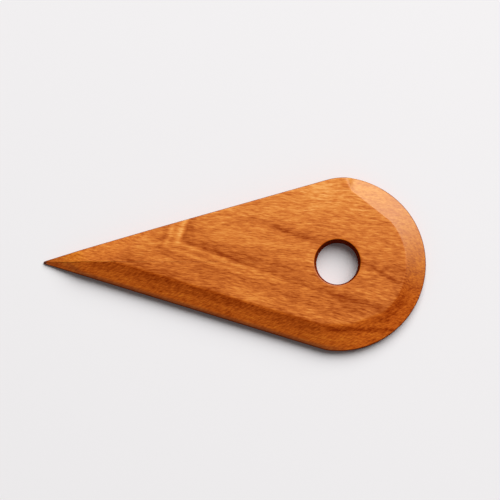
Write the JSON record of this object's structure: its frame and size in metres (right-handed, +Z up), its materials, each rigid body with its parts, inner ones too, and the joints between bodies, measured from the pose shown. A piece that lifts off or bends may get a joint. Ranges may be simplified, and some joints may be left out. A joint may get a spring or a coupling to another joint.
{
  "type": "pottery rib",
  "caption": "Flat wooden teardrop rib for shaping clay, with a pointed end, a round head, a finger hole and a bevel on one face.",
  "frame": {"origin": "centre of the bounding box on the flat back, which is the face that the rib rests on", "axes": "+X from the point to the round head, +Y across the blade to the square long edge, +Z up out of the bevelled face"},
  "size_m": [0.168, 0.076, 0.008],
  "materials": {
    "oiled_wood": "oiled satin"
  },
  "bodies": {
    "root": {"rib_blade": "oiled_wood"}
  },
  "joints": []
}
